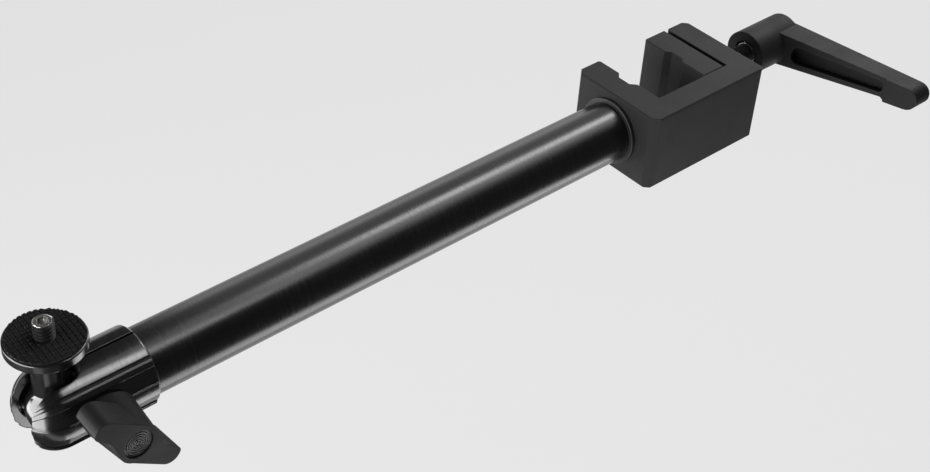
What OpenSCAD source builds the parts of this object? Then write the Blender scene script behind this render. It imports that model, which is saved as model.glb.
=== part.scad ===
// Mount arm: a tube with a pinch ball head and camera screw at one end
// and a C-shaped screw clamp with a ratchet lever at the other.
// Millimetres, +Z up. The tube runs along X, from the ball head to the clamp.
// The origin is the middle of the fixed jaw's recess, where the pole sits.

/* [Arm tube] */
// Outer diameter of the tube
tube_d = 22; // [20:0.5:24]
// Wall of the tube
tube_wall = 1.5; // [1:0.1:2.2]
// Length of the tube that shows between the ball head and the clamp's collar
tube_show = 198; // [80:1:400]
// Length of the tube inside the ball head
tube_in_head = 8; // [6:0.5:10]
// Play of the adapters in the tube's bore
spigot_fit = 0.05; // [0.02:0.01:0.08]

/* [Clamp block] */
// Height of the block and the moving jaw
block_h = 30; // [24:0.5:40]
// Wall between the tube and the throat, which is the fixed jaw
front_wall = 11.4; // [10.5:0.1:15]
// Wall that the screw runs in
back_wall = 10.2; // [8:0.1:14]
// Wall at the closed side of the throat
side_wall = 9.7; // [7:0.1:14]
// Distance of the tube's axis from the screw's axis, towards the closed side
tube_to_screw = 4.4; // [2:0.1:6]
// Corner cut of the block's two corners at the tube
front_cut = 2.7; // [1:0.1:4]
// Corner cut of the block's far corner at the mouth
mouth_cut = 2.8; // [1:0.1:4]
// Corner cut of the block's far corner at the closed side
heel_cut = 1.8; // [1:0.1:4]
// Corner cut of the jaws beside the mouth
jaw_cut = 1.1; // [0.4:0.1:2]
// Broken edge round the top and the bottom of the block
edge_break = 0.5; // [0.2:0.1:1]

/* [Jaws] */
// Width of both jaws across the screw
jaw_w = 30.2; // [26:0.2:40]
// Thickness of the moving jaw
jaw_t = 10.9; // [10.2:0.1:14]
// Opening between the jaws as drawn
opening = 23.8; // [10:0.1:30]
// Room behind the moving jaw as drawn
jaw_back_gap = 1.3; // [1.1:0.1:3]
// Running gap beside the moving jaw
jaw_side_gap = 0.3; // [0.2:0.05:0.6]
// Width of the pole recess at the jaw's face
recess_w = 9.3; // [7:0.1:12]
// Depth of the pole recess, with sides at 45 degrees
recess_deep = 2.06; // [1:0.02:2.6]

/* [Clamp screw] */
// Thread diameter of the clamp screw
screw_d = 8; // [7:0.5:9]
// Thread pitch of the clamp screw
screw_pitch = 1.25; // [1:0.05:1.5]
// Length of the screw between the block and the lever's hub
screw_out = 20.8; // [12:0.1:30]
// Depth of the screw's bearing in the moving jaw
bearing_deep = 6.4; // [6.2:0.1:6.8]
// Thickness of the thrust disc
disc_t = 0.8; // [0.5:0.1:1]
// Thickness of the snap ring
ring_t = 1; // [0.8:0.05:1.2]
// Running play of journals, bores and threads
running_fit = 0.06; // [0.03:0.01:0.08]
// Gap between faces that turn or slide past each other
face_gap = 0.3; // [0.2:0.05:0.4]

/* [Ratchet lever] */
// Diameter of the lever's hub
hub_d = 17.6; // [16:0.2:20]
// Length of the lever's hub
hub_l = 23.1; // [22:0.1:28]
// Reach of the lever from the screw's axis to its tip
lever_reach = 62.2; // [56:0.2:90]
// Angle at which the lever is drawn, up from level
lever_rise = 1.6; // [0:0.1:30]
// Distance from the hub's front to the arm's front face at the axis
arm_front = 11.24; // [9:0.02:12]
// Thickness of the arm at the axis
arm_t = 11.1; // [9:0.1:11.6]
// Outward lean of the arm's front face
arm_front_lean = 13.7; // [8:0.1:18]
// Outward lean of the arm's back face
arm_back_lean = 10.6; // [6:0.1:14]
// Height of the arm's upper edge over the axis, at the axis
arm_up = 7.45; // [6.5:0.05:8]
// Depth of the arm's lower edge under the axis, at the axis
arm_down = 6.9; // [6:0.05:8]
// Height of the paddle at the arm's end
paddle_h = 8.8; // [8.4:0.1:12]
// Length of the paddle
paddle_l = 13; // [10:0.2:16]
// Height of the paddle's face over the arm's front face
paddle_proud = 0.5; // [0.2:0.1:1]
// Depth of the slot in the arm's front face
slot_deep = 3; // [1:0.1:4]
// Height of the slot at the hub's end
slot_h = 7.6; // [5:0.1:8.4]
// Outer diameter of the toothed insert
insert_d = 9.8; // [9.6:0.1:10.4]
// Number of teeth of the ratchet
teeth = 18; // [12:1:24]
// Height of a ratchet tooth
tooth_h = 0.5; // [0.3:0.05:0.6]
// Length of the teeth along the axis, which is also the least lift
tooth_l = 3; // [2:0.1:3.4]
// Thread diameter of the retaining screw
retainer_d = 4; // [3:0.5:4]
// Diameter of the lever spring's wire
spring_wire = 0.7; // [0.5:0.05:0.8]
// Turns of the lever spring
spring_turns = 5; // [4:1:5]

/* [Ball head barrel] */
// Outer diameter of the barrel
barrel_d = 26; // [25:0.2:30]
// Length of the barrel behind the ball's centre
barrel_back = 28.2; // [27:0.2:36]
// Rounding radius of the barrel's nose
nose_r = 10.5; // [8:0.1:11]
// Centre of the nose rounding, in front of the ball's centre
nose_lead = 0.5; // [0:0.1:2]
// Width of the fork slot for the stem
fork_w = 11.2; // [11:0.1:12]
// Centre of the fork slot's round end, behind the ball's centre
fork_end = 2; // [1.8:0.1:3]
// Width of the pinch slit
slit_w = 0.9; // [0.5:0.1:1.5]
// Depth of the channels along the barrel
channel_deep = 0.7; // [0.3:0.05:0.9]
// Play of the tube in the barrel
collar_fit = 0.05; // [0.02:0.01:0.08]

/* [Ball and stem] */
// Diameter of the ball
ball_d = 16.6; // [16:0.1:17]
// Gap round the ball, which the knob closes when it is tightened
seat_gap = 0.25; // [0.15:0.05:0.35]
// Diameter of the stem
stem_d = 10.6; // [9.6:0.1:10.6]
// Height of the plate's underside over the ball's centre
stem_h = 23.5; // [22:0.1:30]
// Fillet between the ball and the stem
stem_fillet = 3; // [1.5:0.1:3.5]

/* [Camera plate] */
// Diameter of the camera plate
plate_d = 24.2; // [24:0.1:28]
// Thickness of the camera plate under the pad
plate_t = 2.7; // [2.2:0.1:4]
// Thickness of the grip pad
pad_t = 1.06; // [0.8:0.02:1.6]
// Diameter of the grip pad
pad_d = 23.1; // [20:0.1:23.2]
// Thread diameter of the camera screw
camera_d = 6.35; // [6.2:0.05:6.5]
// Length of the camera screw over the pad
camera_out = 5.45; // [4:0.05:8]
// Length of the camera screw in the plate and the stem
camera_in = 12; // [8:0.1:13]
// Key size of the hexagon socket in the camera screw
key_af = 3.3; // [2.5:0.1:4]

/* [Wing knob] */
// Distance of the knob's axis behind the ball's centre
knob_back = 10.6; // [10.6:0.1:11]
// Diameter of the spot face under the knob's washer
spot_d = 14.4; // [13.4:0.2:15]
// Depth of the spot face under the top of the barrel's round
spot_deep = 0.7; // [0.6:0.1:1]
// Thickness of the knob's washer
washer_t = 1; // [0.8:0.1:1.4]
// Height of the knob
knob_h = 14.85; // [14:0.05:18]
// Diameter of the knob's hub at the barrel
knob_root_d = 16.4; // [15:0.1:18.4]
// Diameter of the knob's hub at its face
knob_face_d = 13; // [12.6:0.1:14]
// Span of the wings at the knob's face
wing_span = 35; // [30:0.2:40]
// Height of the wings
wing_h = 11.2; // [9:0.1:13]
// Thickness of a wing near its tip
wing_t = 6; // [5:0.1:6.4]
// Thread diameter of the knob's bolt
bolt_d = 5; // [4.6:0.1:5]
// Diameter of the bolt's waist, which passes behind the ball
waist_d = 4; // [3.6:0.1:4]

/* [Hidden] */
$fn = 96;
powder_black = [0.16, 0.16, 0.165];
gloss_black = [0.07, 0.07, 0.075];
satin_black = [0.11, 0.11, 0.115];
steel = [0.72, 0.72, 0.74];
dark_steel = [0.3, 0.3, 0.31];
// Length by which a cutting tool runs past the face that it cuts
past = 1;

// Clamp block and jaws, measured from the recess of the fixed jaw
block_front = recess_deep - front_wall;
throat_front = recess_deep;
throat_back = throat_front + opening + jaw_t + jaw_back_gap;
block_back = throat_back + back_wall;
mouth_y = jaw_w / 2;
throat_y = -jaw_w / 2 - jaw_side_gap;
closed_y = throat_y - side_wall;
jaw_front = throat_front + opening;
jaw_back = jaw_front + jaw_t;

// Clamp screw
screw_r = screw_d / 2;
journal_r = screw_r - 0.61 * screw_pitch;
bearing_floor = jaw_back - bearing_deep;
screw_tip = bearing_floor + disc_t + face_gap / 2;
ring_groove = 0.6;
ring_w = 1.2;
ring_x = jaw_back - 2.6;
hub_front = block_back + screw_out;
insert_front = hub_front + 0.2;
teeth_front = hub_front + 4;
teeth_back = teeth_front + tooth_l;
lift = tooth_l + 0.4;
web_front = teeth_back + face_gap;
web_t = 2.5;
hub_bevel = 0.6;
web_back = web_front + web_t;
spring_r = retainer_d / 2 + 1.3;
spring_l = spring_turns * (spring_wire + 0.15) + 0.3;
retainer_seat = web_back + lift + spring_l + 0.3;
retainer_head_t = 2.6;
insert_spigot_r = screw_r - 0.8;
mesh_r = insert_d / 2 + running_fit;
hub_bore_r = mesh_r + 0.15;

// Arm of the lever, by the distance from the screw's axis
function arm_front_at(s) = arm_front + s * tan(arm_front_lean);
function arm_back_at(s) = arm_front + arm_t + s * tan(arm_back_lean);
paddle_top = 3.1;
paddle_step = 1.35;
slot_start = 11.6;
slot_stop = lever_reach - paddle_l + 0.8;

// Tube, adapters and ball head, measured along the tube
tube_r = tube_d / 2;
bore_r = tube_r - tube_wall;
collar_t = 1.5;
collar_d = tube_d + 3;
stud_r = 6;
stud_l = 7.6;
tube_front = block_front - collar_t;
barrel_end = tube_front - tube_show;
tube_end = barrel_end - tube_in_head;
ball_x = barrel_end - barrel_back;
ball_r = ball_d / 2;
seat_r = ball_r + seat_gap;
barrel_r = barrel_d / 2;
barrel_bore_r = ball_r + 0.1;
fork_r = fork_w / 2;
spigot_l = 14;

// Stem, plate and screw, measured from the ball's centre
stem_r = stem_d / 2;
pilot_r = stem_r - 0.8;
pilot_h = 1.6;
plate_z = stem_h + 0.05;
pad_z = stem_h + plate_t;
plate_rim = pad_z + 0.2;
plate_bevel = 0.5;
camera_r = camera_d / 2;
shank_r = camera_r - 0.45;
pad_top = pad_z + pad_t;
camera_tip = pad_top + camera_out;
camera_foot = pad_top - camera_in;

// Knob, measured outwards from the tube's axis
spot_out = barrel_r - spot_deep;
washer_out = spot_out + washer_t;
knob_top = washer_out + knob_h;
wing_root = knob_top - wing_h;
cap_r = 4.7;
cap_deep = 1.2;
bolt_head_af = 8;
bolt_head_t = 3.2;
bolt_head_out = knob_top - cap_deep - bolt_head_t - 0.1;
bolt_r = bolt_d / 2;
waist_r = waist_d / 2;

// Turns what is drawn along Z so that it runs along X
module along_x() {
    rotate([0, 90, 0]) children();
}

// Moves what is drawn to the tube's axis
module on_tube() {
    translate([0, -tube_to_screw, 0]) children();
}

// Moves what is drawn to the ball's centre
module at_ball() {
    translate([ball_x, -tube_to_screw, 0]) children();
}

// Moves what is drawn to the knob's axis and turns it to face the near side
module at_knob() {
    at_ball() translate([knob_back, 0, 0]) rotate([90, 0, 0]) children();
}

// Round bar along X from one place to another
module bar_x(r, from, to) {
    translate([from, 0, 0]) along_x() cylinder(r = r, h = to - from);
}

function unit(v) = v / norm(v);

// Arc that rounds the corner b between the points a and c with the radius b[2]
function corner(a, b, c, steps = 8) =
    let (p = [b[0], b[1]], u = unit([a[0], a[1]] - p), v = unit([c[0], c[1]] - p))
    let (half = acos(u * v) / 2, middle = p + unit(u + v) * b[2] / sin(half))
    let (start = p + u * b[2] / tan(half) - middle)
    let (turn = (180 - 2 * half) * sign(u[1] * v[0] - u[0] * v[1]), at = atan2(start[1], start[0]))
    b[2] == 0 ? [p] : [for (k = [0:steps]) middle + b[2] * [cos(at + turn * k / steps), sin(at + turn * k / steps)]];

// Outline through the corners [x, y, radius]
function rounded(p) =
    let (n = len(p))
    [for (i = [0:n - 1]) each corner(p[(i + n - 1) % n], p[i], p[(i + 1) % n])];

// Outline of the pole recess, as wide as the recess at x = 0 and narrower behind it
module recess_outline() {
    polygon([[-past, recess_w / 2 + past], [recess_deep, recess_w / 2 - recess_deep],
             [recess_deep, -recess_w / 2 + recess_deep], [-past, -recess_w / 2 - past]]);
}

// Box between two x and two y places, with its upper and lower edges broken
module broken_block(x0, x1, y0, y1) {
    h = block_h / 2;
    c = edge_break;
    intersection() {
        translate([0, y1, 0]) rotate([90, 0, 0]) linear_extrude(y1 - y0)
            polygon([[x0 + c, -h], [x1 - c, -h], [x1, c - h], [x1, h - c],
                     [x1 - c, h], [x0 + c, h], [x0, h - c], [x0, c - h]]);
        translate([x0, 0, 0]) rotate([90, 0, 90]) linear_extrude(x1 - x0)
            polygon([[y0 + c, -h], [y1 - c, -h], [y1, c - h], [y1, h - c],
                     [y1 - c, h], [y0 + c, h], [y0, h - c], [y0, c - h]]);
    }
}

// Block of the clamp seen from above
module clamp_outline() {
    polygon([[block_front + front_cut, closed_y], [block_back - heel_cut, closed_y],
             [block_back, closed_y + heel_cut], [block_back, mouth_y - mouth_cut],
             [block_back - mouth_cut, mouth_y], [throat_back + jaw_cut, mouth_y],
             [throat_back, mouth_y - jaw_cut], [throat_back, throat_y],
             [throat_front, throat_y], [throat_front, mouth_y - jaw_cut],
             [throat_front - jaw_cut, mouth_y], [block_front + front_cut, mouth_y],
             [block_front, mouth_y - front_cut], [block_front, closed_y + front_cut]]);
}

// C-shaped block with the fixed jaw, the back wall and the tapped holes
module clamp_body() {
    color(powder_black) difference() {
        intersection() {
            broken_block(block_front, block_back, closed_y, mouth_y);
            translate([0, 0, -block_h / 2]) linear_extrude(block_h) clamp_outline();
        }
        translate([throat_front, 0, -block_h]) mirror([1, 0, 0]) linear_extrude(2 * block_h) recess_outline();
        bar_x(screw_r + running_fit, throat_back - past, block_back + past);
        on_tube() bar_x(stud_r + spigot_fit, block_front - past, block_front + stud_l + 0.3);
    }
}

// Jaw that the screw pushes along the throat
module moving_jaw() {
    color(powder_black) difference() {
        intersection() {
            broken_block(jaw_front, jaw_back, -jaw_w / 2, mouth_y);
            translate([0, 0, -block_h / 2]) linear_extrude(block_h)
                polygon([[jaw_front, -jaw_w / 2], [jaw_back, -jaw_w / 2],
                         [jaw_back, mouth_y - jaw_cut], [jaw_back - jaw_cut, mouth_y],
                         [jaw_front + jaw_cut, mouth_y], [jaw_front, mouth_y - jaw_cut]]);
        }
        translate([jaw_front, 0, -block_h]) linear_extrude(2 * block_h) recess_outline();
        bar_x(journal_r + running_fit, bearing_floor, jaw_back + past);
        bar_x(journal_r + ring_w - 0.1, ring_x - 0.2, ring_x + ring_t + 0.2);
    }
}

// Disc in the bottom of the jaw's bearing that takes the screw's thrust
module thrust_disc() {
    color(steel) bar_x(journal_r - 0.1, bearing_floor, bearing_floor + disc_t);
}

// Ring in the screw's groove that pulls the jaw back
module screw_snap_ring() {
    color(steel) difference() {
        bar_x(journal_r + ring_w - 0.5, ring_x, ring_x + ring_t);
        bar_x(journal_r - ring_groove + 0.03, ring_x - past, ring_x + ring_t + past);
    }
}

// Clamp screw with its journal in the jaw and its spigot in the lever's insert
module clamp_screw() {
    thread_start = jaw_back + 0.4;
    spigot_end = teeth_back - 0.5;
    lead_in = 0.6 * screw_pitch;
    color(dark_steel) difference() {
        union() {
            bar_x(journal_r, screw_tip, thread_start + lead_in);
            translate([thread_start, 0, 0]) along_x() cylinder(r1 = journal_r, r2 = screw_r, h = lead_in);
            bar_x(screw_r, thread_start + lead_in, insert_front);
            bar_x(insert_spigot_r, insert_front, spigot_end);
        }
        difference() {
            bar_x(screw_r, ring_x - 0.03, ring_x + ring_t + 0.03);
            bar_x(journal_r - ring_groove, ring_x - past, ring_x + ring_t + past);
        }
        bar_x(retainer_d / 2, insert_front - 1, spigot_end + past);
    }
}

// Outline with ratchet teeth, from the root radius to the tip radius
module toothed(root, tip) {
    step = 360 / teeth;
    polygon([for (i = [0:teeth - 1]) for (k = [0:3])
        let (r = k == 1 || k == 2 ? tip : root, a = step * (i + [0.05, 0.35, 0.65, 0.95][k]))
        r * [cos(a), sin(a)]]);
}

// Toothed steel insert on the screw's spigot
module lever_insert() {
    tip = insert_d / 2;
    color(steel) difference() {
        union() {
            bar_x(tip - tooth_h - 0.1, insert_front, teeth_back);
            translate([teeth_front, 0, 0]) rotate([-lever_rise, 0, 0]) along_x()
                linear_extrude(tooth_l) toothed(tip - tooth_h, tip);
        }
        bar_x(insert_spigot_r + 0.02, insert_front - past, teeth_back + past);
    }
}

// Shoulder screw that holds the lever and its spring on the insert
module lever_retainer() {
    color(dark_steel) difference() {
        union() {
            bar_x(retainer_d / 2 - 0.02, insert_front, retainer_seat);
            bar_x(mesh_r - 0.25, retainer_seat, retainer_seat + retainer_head_t);
        }
        translate([retainer_seat + retainer_head_t - 1.8, 0, 0]) along_x()
            cylinder(d = 3 / cos(30), h = 1.8 + past, $fn = 6);
    }
}

// Centre line of the spring, by the turn
function spring_at(turn) =
    [spring_r * cos(360 * turn), spring_r * sin(360 * turn),
     spring_wire / 2 + turn * (spring_l - spring_wire) / spring_turns];

// Ring of points round the spring's wire at one place along it
function spring_ring(turn, sides) =
    let (out = [cos(360 * turn), sin(360 * turn), 0])
    [for (k = [0:sides - 1]) spring_at(turn)
        + spring_wire / 2 * (cos(360 * k / sides) * out + sin(360 * k / sides) * [0, 0, 1])];

// Spring under the retaining screw's head, drawn as short as it gets
module lever_spring() {
    sides = 6;
    rings = 10 * spring_turns;
    points = [for (i = [0:rings]) each spring_ring(i / 10, sides)];
    walls = [for (i = [0:rings - 1]) for (k = [0:sides - 1])
        let (a = i * sides + k, b = i * sides + (k + 1) % sides)
        each [[a, b, b + sides], [a, b + sides, a + sides]]];
    ends = [[for (k = [0:sides - 1]) sides - 1 - k], [for (k = [0:sides - 1]) rings * sides + k]];
    color(steel) translate([retainer_seat - spring_l - 0.15, 0, 0]) along_x() polyhedron(points, concat(walls, ends));
}

// Arm and paddle of the lever, drawn from the hub's front along -Y
module lever_arm() {
    tip = lever_reach;
    step = tip - paddle_l;
    paddle_low = paddle_top - paddle_h;
    tip_r = paddle_h / 2 - 0.1;
    slope = (arm_up - paddle_top) / tip;
    intersection() {
        translate([0, 0, -hub_d]) linear_extrude(2 * hub_d)
            polygon([[arm_front_at(0), 0], [arm_front_at(step), -step],
                     [arm_front_at(step) - paddle_proud, -step - 0.6],
                     [arm_front_at(tip) - paddle_proud, -tip],
                     [arm_back_at(tip), -tip], [arm_back_at(0), 0]]);
        rotate([90, 0, 90]) linear_extrude(2 * hub_l)
            polygon(rounded([[0, arm_up, 0], [0, -arm_down, 0], [-step + 1, paddle_low + paddle_step, 1],
                             [-step - 0.6, paddle_low, 1.4], [-tip, paddle_low, tip_r],
                             [-tip, arm_up - slope * tip, tip_r]]));
    }
}

// Slot in the arm's front face, narrower towards the paddle, with round ends
module lever_slot() {
    near_h = slot_h / 2;
    far_h = near_h - 1.3;
    mouth = hub_l / 2;
    flat = 0.6;
    translate([arm_front_at(0), 0, 0]) rotate([0, 0, arm_front_lean]) translate([-mouth, 0, 0])
        rotate([90, 0, 90]) linear_extrude(mouth + slot_deep)
            polygon(rounded([[-slot_start, near_h, near_h - flat], [-slot_start, -near_h, near_h - flat],
                             [-slot_stop, -far_h, far_h - flat], [-slot_stop, far_h, far_h - flat]]));
}

// Ratchet lever: hub, arm with a slot, and a paddle for the thumb
module ratchet_lever() {
    color(powder_black) translate([hub_front, 0, 0]) rotate([-lever_rise, 0, 0]) difference() {
        union() {
            bar_x(hub_d / 2, 0, hub_l - hub_bevel);
            translate([hub_l - hub_bevel, 0, 0]) along_x()
                cylinder(r1 = hub_d / 2, r2 = hub_d / 2 - hub_bevel, h = hub_bevel);
            lever_arm();
        }
        lever_slot();
        bar_x(hub_bore_r, -past, teeth_front - hub_front);
        translate([teeth_front - hub_front - 0.1, 0, 0]) along_x() linear_extrude(tooth_l + face_gap + 0.1)
            toothed(mesh_r - tooth_h, mesh_r);
        bar_x(retainer_d / 2 + running_fit, 0, hub_l);
        bar_x(hub_bore_r, web_back - hub_front, 2 * hub_l);
    }
}

// Turned adapter: spigot in the tube, collar between tube and block, stud in the block
module clamp_adapter() {
    color(satin_black) on_tube() difference() {
        union() {
            bar_x(bore_r - spigot_fit, tube_front - spigot_l, tube_front);
            bar_x(collar_d / 2, tube_front, block_front);
            bar_x(stud_r, block_front, block_front + stud_l);
        }
        translate([tube_front - spigot_l - past, 0, 0]) along_x() cylinder(d = 8 / cos(30), h = 8 + past, $fn = 6);
    }
}

// Tube of the arm
module arm_tube() {
    color(satin_black) on_tube() difference() {
        bar_x(tube_r, tube_end, tube_front);
        bar_x(bore_r, tube_end - past, tube_front + past);
        grub_holes();
    }
}

// Threaded plug between the barrel and the tube
module head_adapter() {
    stud = 3.6;
    color(satin_black) on_tube() difference() {
        union() {
            bar_x(barrel_bore_r - 0.05, tube_end - stud, tube_end);
            bar_x(bore_r - spigot_fit, tube_end, tube_end + spigot_l);
        }
        translate([tube_end + spigot_l - 7, 0, 0]) along_x() cylinder(d = 8 / cos(30), h = 7 + past, $fn = 6);
        grub_holes();
    }
}

// Places what is drawn along Z at the two set screws under the barrel
module at_grubs() {
    for (side = [-35, 35])
        translate([barrel_end - tube_in_head / 2, 0, 0]) rotate([side, 0, 0]) mirror([0, 0, 1]) children();
}

// Holes of the two set screws, drawn from the tube's axis
module grub_holes() {
    at_grubs() translate([0, 0, bore_r - 2.2]) cylinder(r = 1.55, h = barrel_r);
}

// Two set screws through the barrel and the tube into the plug
module adapter_grub_screws() {
    color(dark_steel) on_tube() at_grubs() difference() {
        translate([0, 0, bore_r - 2.2]) cylinder(r = 1.5, h = barrel_r - bore_r + 1.7);
        translate([0, 0, barrel_r - 1.8]) cylinder(d = 1.5 / cos(30), h = 3, $fn = 6);
    }
}

// Half section of the barrel, cut back by a depth along its length and by a fifth of it at the tip of its nose
module barrel_section(cut) {
    tip_cut = 0.2 * cut;
    difference() {
        translate([0, -nose_lead - nose_r + tip_cut])
            square([barrel_r - cut, barrel_back + nose_lead + nose_r - tip_cut]);
        difference() {
            translate([barrel_r - nose_r, -nose_lead - nose_r - past]) square([nose_r + past, nose_r + past]);
            translate([barrel_r - nose_r, -nose_lead - cut + tip_cut]) circle(nose_r - cut);
        }
        translate([barrel_r, barrel_back]) rotate(45) square(0.8, center = true);
    }
}

// Wedge along the barrel between two angles from the side, on all four quarters
module channel_wedges(from, to) {
    reach = 2 * barrel_r;
    translate([-reach, 0, 0]) rotate([90, 0, 90]) linear_extrude(barrel_back + reach + past)
        for (flip = [0, 1]) mirror([flip, 0]) for (turn = [0, 1]) mirror([0, turn])
            polygon([[0, 0], reach * [cos(from), sin(from)], reach * [cos(to), sin(to)]]);
}

// Slot that the stem swings in, from the top round the front to the bottom
module fork_slot() {
    translate([0, 0, -barrel_d]) linear_extrude(2 * barrel_d) {
        translate([-2 * barrel_d, -fork_r]) square([2 * barrel_d + fork_end, fork_w]);
        translate([fork_end, 0]) circle(fork_r);
    }
    for (side = [0, 1]) mirror([0, 0, side]) {
        translate([-2 * barrel_d, 0, 0]) rotate([90, 0, 90]) linear_extrude(2 * barrel_d + fork_end)
            polygon([[-fork_r, barrel_r - 1.8], [fork_r, barrel_r - 1.8], [fork_r + 2.2, barrel_r + 0.4],
                     [-fork_r - 2.2, barrel_r + 0.4]]);
        translate([fork_end, 0, barrel_r - 1.8]) cylinder(r1 = fork_r, r2 = fork_r + 2.2, h = 2.2);
    }
}

// Split barrel of the ball head
module socket_housing() {
    seat_edge_r = 8.2;
    broad_from = 10;
    broad_to = 35;
    slender_from = 44;
    slender_to = 50;
    color(gloss_black) at_ball() difference() {
        union() {
            along_x() rotate_extrude() barrel_section(channel_deep);
            difference() {
                along_x() rotate_extrude() barrel_section(0);
                channel_wedges(broad_from, broad_to);
                channel_wedges(slender_from, slender_to);
            }
        }
        sphere(seat_r);
        bar_x(barrel_bore_r, 0, barrel_back + past);
        bar_x(tube_r + collar_fit, barrel_back - tube_in_head, barrel_back + past);
        fork_slot();
        for (side = [0, 1]) mirror([0, side, 0]) translate([0, fork_r, 0]) rotate([-90, 0, 0])
            cylinder(r1 = seat_edge_r, r2 = seat_edge_r - 1.3, h = 1.3);
        translate([fork_end, -slit_w / 2, 0]) cube([barrel_back, slit_w, barrel_d]);
        translate([fork_end, -slit_w / 2, -barrel_d]) cube([barrel_back / 2, slit_w, barrel_d]);
        translate([knob_back, 0, 0]) rotate([90, 0, 0]) {
            translate([0, 0, spot_out]) cylinder(d = spot_d, h = barrel_r);
            cylinder(r = bolt_r + 0.3, h = barrel_d);
            mirror([0, 0, 1]) cylinder(r = bolt_r + running_fit, h = barrel_d);
        }
        translate([-ball_x, 0, 0]) grub_holes();
    }
}

// Cup behind the ball, with a cross hole for the knob's bolt
module ball_backing_cup() {
    cup_front = 7;
    cup_back = barrel_back - tube_in_head - 3.7;
    color(satin_black) at_ball() difference() {
        bar_x(barrel_bore_r - 0.15, cup_front, cup_back);
        sphere(seat_r);
        translate([knob_back, barrel_r, 0]) rotate([90, 0, 0]) cylinder(r = bolt_r + 0.1, h = barrel_d);
    }
}

// Ball and stem in one piece, with a fillet between them and a bore for the camera screw
module ball_stem() {
    fillet_z = sqrt(pow(ball_r + stem_fillet, 2) - pow(stem_r + stem_fillet, 2));
    color(gloss_black) at_ball() difference() {
        rotate_extrude() difference() {
            union() {
                intersection() {
                    circle(ball_r);
                    translate([0, -ball_r]) square([ball_r, ball_d]);
                }
                square([stem_r, stem_h]);
                square([(stem_r + stem_fillet) * ball_r / (ball_r + stem_fillet), fillet_z]);
                square([pilot_r, stem_h + pilot_h]);
            }
            translate([stem_r + stem_fillet, fillet_z]) circle(stem_fillet);
        }
        translate([0, 0, camera_foot - face_gap]) cylinder(r = shank_r + running_fit, h = stem_h);
    }
}

// Round plate that the camera sits on
module camera_plate() {
    color(gloss_black) at_ball() difference() {
        rotate_extrude() polygon([[0, plate_z], [plate_d / 2 - 0.2, plate_z], [plate_d / 2, plate_z + 0.2],
            [plate_d / 2, plate_rim - 0.1], [plate_d / 2 - plate_bevel, plate_rim + plate_bevel - 0.1],
            [0, plate_rim + plate_bevel - 0.1]]);
        translate([0, 0, pad_z]) cylinder(d = pad_d + 0.1, h = 2 * pad_t);
        translate([0, 0, stem_h - past]) cylinder(r = pilot_r + running_fit, h = pilot_h + 0.3 + past);
        cylinder(r = shank_r + 0.02, h = camera_tip);
    }
}

// Knurled pad set into the plate
module grip_pad() {
    color(satin_black) at_ball() difference() {
        translate([0, 0, pad_z]) cylinder(d = pad_d, h = pad_t);
        cylinder(r = camera_r + 0.15, h = camera_tip);
    }
}

// Camera screw: shank in the plate and the stem, thread over the pad, hexagon socket in the tip
module camera_screw() {
    tip_bevel = 0.4;
    socket_deep = 3;
    color(steel) at_ball() difference() {
        union() {
            translate([0, 0, camera_foot]) cylinder(r = shank_r, h = pad_top - camera_foot);
            translate([0, 0, pad_top]) cylinder(r = camera_r, h = camera_out - tip_bevel);
            translate([0, 0, camera_tip - tip_bevel]) cylinder(r1 = camera_r, r2 = camera_r - tip_bevel, h = tip_bevel);
        }
        translate([0, 0, camera_tip - socket_deep]) cylinder(d = key_af / cos(30), h = socket_deep + past, $fn = 6);
    }
}

// Outline of a swept wing with a straight leading side and a hollow trailing side
module wing_outline() {
    tip = wing_span / 2 - 0.2;
    lead = knob_face_d / 2 - 0.13;
    polygon(rounded([[0, 0, 0], [0, lead, 0], [tip, lead, 3.8], [tip, lead - wing_t, 1.8],
                     [10, lead - wing_t - 0.9, 7], [1.8, -lead, 0]]));
}

// Two wings that lean outwards towards the knob's face, so that their tips stay round all the way down
module wings() {
    sweep = 145;
    lean = 6;
    intersection() {
        translate([0, 0, wing_root]) cylinder(d = 2 * wing_span, h = wing_h);
        for (side = [0, 180]) rotate(side + sweep) mirror([0, 1, 0])
            translate([0, 0, knob_top]) rotate([0, lean, 0]) linear_extrude(4 * wing_h, center = true)
                wing_outline();
    }
}

// Wing knob with its hub, two wings, a recess for the cap and a pocket for the bolt's head
module wing_knob() {
    color(powder_black) at_knob() difference() {
        union() {
            translate([0, 0, washer_out]) cylinder(d1 = knob_root_d, d2 = knob_face_d, h = knob_h);
            wings();
        }
        translate([0, 0, knob_top - cap_deep]) cylinder(r = cap_r + 0.1, h = cap_deep + past);
        translate([0, 0, bolt_head_out]) cylinder(d = (bolt_head_af + 0.1) / cos(30), h = knob_h, $fn = 6);
        cylinder(r = bolt_r + 0.02, h = knob_top);
    }
}

// Round insert in the knob's face
module knob_cap() {
    color(satin_black) at_knob() difference() {
        translate([0, 0, knob_top - cap_deep]) cylinder(r = cap_r, h = cap_deep - 0.5);
        translate([0, 0, knob_top - 0.9]) difference() {
            cylinder(r = 3.6, h = past);
            translate([0, 0, -past]) cylinder(r = 2, h = 3 * past);
        }
    }
}

// Bolt that pulls the cheeks together, with its waist behind the ball
module knob_bolt() {
    waist_from = -ball_r;
    waist_to = ball_r;
    color(dark_steel) at_knob() {
        translate([0, 0, bolt_head_out]) cylinder(d = bolt_head_af / cos(30), h = bolt_head_t, $fn = 6);
        translate([0, 0, waist_to]) cylinder(r = bolt_r, h = bolt_head_out - waist_to);
        translate([0, 0, waist_from]) cylinder(r = waist_r, h = waist_to - waist_from);
        translate([0, 0, 0.6 - barrel_r]) cylinder(r = bolt_r, h = barrel_r - 0.6 + waist_from);
    }
}

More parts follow.
